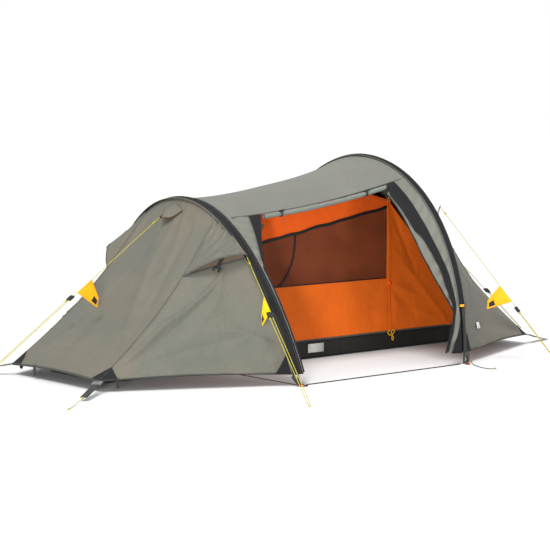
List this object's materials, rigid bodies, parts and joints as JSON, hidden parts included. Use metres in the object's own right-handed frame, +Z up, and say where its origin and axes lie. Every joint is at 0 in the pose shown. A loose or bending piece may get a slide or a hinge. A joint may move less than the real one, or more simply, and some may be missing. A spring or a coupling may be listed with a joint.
{
  "type": "tunnel tent",
  "caption": "Low tunnel tent on two curved pole hoops, with a side door rolled up, netting inner tent, vent hoods and guylines",
  "frame": {"origin": "on the ground, midway between the two pole hoops, on the tent's centre line", "axes": "+X runs along the tunnel towards the tall head end, -Y is the side with the door, +Z is up"},
  "size_m": [3.5659, 2.0421, 0.9995],
  "materials": {
    "fly_cloth": "coated ripstop polyester, matt grey-green",
    "sleeve_cloth": "matt charcoal polyester",
    "inner_cloth": "thin breathable polyester, orange",
    "netting": "fine dark brown insect netting",
    "floor_cloth": "coated floor cloth, near black",
    "webbing": "woven webbing, dark grey",
    "pouch_cloth": "bright yellow-orange cloth",
    "cord": "braided cord, bright yellow",
    "plastic": "black moulded nylon",
    "pole_metal": "anodised tube"
  },
  "bodies": {
    "tent": {"corner_strap_foot_far": "webbing", "corner_strap_foot_near": "webbing", "corner_strap_head_far": "webbing", "corner_strap_head_near": "webbing", "fly_door_strip_foot": "fly_cloth", "fly_door_strip_head": "fly_cloth", "fly_foot_centre_panel": "fly_cloth", "fly_foot_far_panel": "fly_cloth", "fly_foot_near_panel": "fly_cloth", "fly_head_centre_panel": "fly_cloth", "fly_head_far_panel": "fly_cloth", "fly_head_near_panel": "fly_cloth", "fly_roof": "fly_cloth", "foot_base_tape": "webbing", "foot_guy_gusset": "sleeve_cloth", "foot_pole": "pole_metal", "foot_pole_sleeve": "sleeve_cloth", "foot_strap_foot_far": "webbing", "foot_strap_foot_near": "webbing", "foot_strap_head_far": "webbing", "foot_strap_head_near": "webbing", "guyline_foot_centre": "cord", "guyline_foot_near": "cord", "guyline_head_centre": "cord", "guyline_head_near": "cord", "head_guy_gusset": "sleeve_cloth", "head_pole": "pole_metal", "head_pole_sleeve": "sleeve_cloth", "inner_floor_tub": "floor_cloth", "inner_foot_end": "inner_cloth", "inner_head_end": "inner_cloth", "inner_mesh_door": "netting", "inner_near_wall": "inner_cloth", "inner_roof": "inner_cloth", "near_spacer_tape": "webbing", "peg_cord_foot_near": "cord", "rolled_door": "fly_cloth", "storm_flap_foot": "sleeve_cloth", "storm_flap_head": "sleeve_cloth", "strap_tail_head_near": "cord", "vent_hood_far": "fly_cloth", "vent_hood_near": "fly_cloth"},
    "tensioner_foot_centre_body": {"tensioner_foot_centre": "plastic"},
    "flag_foot_centre_body": {"flag_foot_centre": "pouch_cloth"},
    "tensioner_foot_near_body": {"tensioner_foot_near": "plastic"},
    "flag_foot_near_body": {"flag_foot_near": "pouch_cloth"},
    "tensioner_head_near_body": {"tensioner_head_near": "plastic"},
    "flag_head_near_body": {"flag_head_near": "pouch_cloth"},
    "tensioner_head_centre_body": {"tensioner_head_centre": "plastic"},
    "vent_strut_near_body": {"vent_strut_near": "plastic"},
    "vent_strut_far_body": {"vent_strut_far": "plastic"},
    "door_toggle_foot_body": {"door_toggle_foot": "plastic"},
    "door_toggle_head_body": {"door_toggle_head": "plastic"},
    "corner_buckle_foot_near_body": {"corner_buckle_foot_near": "plastic"},
    "corner_buckle_foot_far_body": {"corner_buckle_foot_far": "plastic"},
    "corner_buckle_head_near_body": {"corner_buckle_head_near": "plastic"},
    "corner_buckle_head_far_body": {"corner_buckle_head_far": "plastic"},
    "fly_zip_slider_foot_body": {"fly_zip_slider_foot": "plastic"},
    "fly_zip_slider_head_body": {"fly_zip_slider_head": "plastic"},
    "inner_door_slider_body": {"inner_door_slider": "plastic"}
  },
  "joints": [
    {"name": "tensioner_foot_centre_slide", "type": "slide", "parent": "tent", "child": "tensioner_foot_centre_body", "axis": [-0.8233, 0, -0.5677], "range_m": [-0.006, 0.12]},
    {"name": "flag_foot_centre_swing", "type": "hinge", "parent": "tent", "child": "flag_foot_centre_body", "pos_m": [-1.1165, 0, 0.45812], "axis": [-0.8233, 0, -0.5677], "range_deg": [-50, 50]},
    {"name": "tensioner_foot_near_slide", "type": "slide", "parent": "tent", "child": "tensioner_foot_near_body", "axis": [-0.2687, -0.7634, -0.5874], "range_m": [-0.006, 0.12]},
    {"name": "flag_foot_near_swing", "type": "hinge", "parent": "tent", "child": "flag_foot_near_body", "pos_m": [-0.67753, -0.70091, 0.40526], "axis": [-0.2687, -0.7634, -0.5874], "range_deg": [-50, 50]},
    {"name": "tensioner_head_near_slide", "type": "slide", "parent": "tent", "child": "tensioner_head_near_body", "axis": [0.2734, -0.5715, -0.7737], "range_m": [-0.006, 0.12]},
    {"name": "flag_head_near_swing", "type": "hinge", "parent": "tent", "child": "flag_head_near_body", "pos_m": [0.71809, -0.82632, 0.3725], "axis": [0.2734, -0.5715, -0.7737], "range_deg": [-50, 50]},
    {"name": "tensioner_head_centre_slide", "type": "slide", "parent": "tent", "child": "tensioner_head_centre_body", "axis": [0.7753, 0, -0.6316], "range_m": [-0.006, 0.12]},
    {"name": "vent_strut_near_fold", "type": "hinge", "parent": "tent", "child": "vent_strut_near_body", "pos_m": [-0.71644, -0.44465, 0.56077], "axis": [-0.9007, 0.3042, 0.3103], "range_deg": [0, 60]},
    {"name": "vent_strut_far_fold", "type": "hinge", "parent": "tent", "child": "vent_strut_far_body", "pos_m": [-0.71644, 0.44465, 0.56077], "axis": [0.9007, 0.3042, -0.3103], "range_deg": [0, 60]},
    {"name": "door_toggle_foot_turn", "type": "hinge", "parent": "tent", "child": "door_toggle_foot_body", "pos_m": [-0.24214, -0.31439, 0.75376], "axis": [0, -0.5294, 0.8483], "range_deg": [-80, 80]},
    {"name": "door_toggle_head_turn", "type": "hinge", "parent": "tent", "child": "door_toggle_head_body", "pos_m": [0.28255, -0.34239, 0.83272], "axis": [0, -0.5066, 0.8622], "range_deg": [-80, 80]},
    {"name": "corner_buckle_foot_near_tilt", "type": "hinge", "parent": "tent", "child": "corner_buckle_foot_near_body", "pos_m": [-1.3347, -0.35621, 0.04855], "axis": [-0.6281, 0.7781, 0], "range_deg": [0, 35]},
    {"name": "corner_buckle_foot_far_tilt", "type": "hinge", "parent": "tent", "child": "corner_buckle_foot_far_body", "pos_m": [-1.3347, 0.35621, 0.04855], "axis": [0.6281, 0.7781, 0], "range_deg": [0, 35]},
    {"name": "corner_buckle_head_near_tilt", "type": "hinge", "parent": "tent", "child": "corner_buckle_head_near_body", "pos_m": [1.32056, -0.46505, 0.04779], "axis": [0.2, -0.9798, 0], "range_deg": [0, 35]},
    {"name": "corner_buckle_head_far_tilt", "type": "hinge", "parent": "tent", "child": "corner_buckle_head_far_body", "pos_m": [1.32056, 0.46505, 0.04779], "axis": [-0.2, -0.9798, 0], "range_deg": [0, 35]},
    {"name": "fly_zip_slider_foot_run", "type": "slide", "parent": "tent", "child": "fly_zip_slider_foot_body", "axis": [-0.5008, -0.6281, -0.5956], "range_m": [0, 0.06]},
    {"name": "fly_zip_slider_head_run", "type": "slide", "parent": "tent", "child": "fly_zip_slider_head_body", "axis": [-0.0118, -0.7418, -0.6705], "range_m": [0, 0.06]},
    {"name": "inner_door_slider_run", "type": "slide", "parent": "tent", "child": "inner_door_slider_body", "axis": [1, 0, 0], "range_m": [-0.3, 0.66]}
  ]
}
